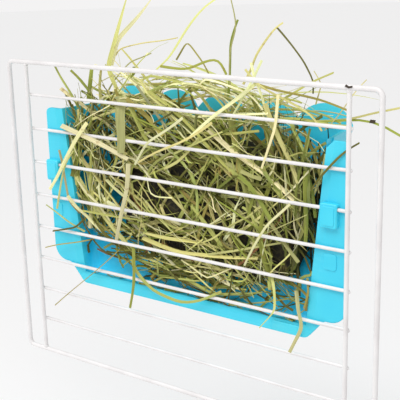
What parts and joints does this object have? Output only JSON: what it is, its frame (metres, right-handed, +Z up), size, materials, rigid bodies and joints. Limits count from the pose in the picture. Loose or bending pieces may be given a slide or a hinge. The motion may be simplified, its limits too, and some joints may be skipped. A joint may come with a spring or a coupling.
{
  "type": "clip-on hay feeder box",
  "caption": "Moulded plastic hay hopper with a scalloped crest, held behind a welded wire front by two snap-in buckles and filled with hay.",
  "frame": {"origin": "on the axis of the wire front's top rod, halfway along it", "axes": "+X to the right as seen from the animal's side, +Y away from the animal into the hopper, +Z up"},
  "size_m": [0.3113, 0.0715, 0.2856],
  "materials": {
    "hopper_plastic": "satin injection moulding in sky blue",
    "buckle_plastic": "satin injection moulding in sky blue",
    "painted_wire": "white powder-coated steel wire",
    "hay": "loose dried timothy hay",
    "hay_stalks": "dried hay stalks and leaves"
  },
  "bodies": {
    "rack": {"hopper": "hopper_plastic", "frame_loop": "painted_wire", "left_upright": "painted_wire", "right_upright": "painted_wire", "bar_1": "painted_wire", "bar_2": "painted_wire", "bar_3": "painted_wire", "bar_4": "painted_wire", "bar_5": "painted_wire", "bar_6": "painted_wire", "bar_7": "painted_wire", "bar_8": "painted_wire", "hay_bed": "hay", "hay_heap": "hay", "hay_top_stalks": "hay_stalks", "hay_front_stalks": "hay_stalks"},
    "left_buckle": {"left_buckle": "buckle_plastic"},
    "right_buckle": {"right_buckle": "buckle_plastic"}
  },
  "joints": [
    {"name": "left_buckle_pull", "type": "slide", "parent": "rack", "child": "left_buckle", "axis": [0, -1, 0], "range_m": [0, 0.01]},
    {"name": "right_buckle_pull", "type": "slide", "parent": "rack", "child": "right_buckle", "axis": [0, -1, 0], "range_m": [0, 0.01]}
  ]
}
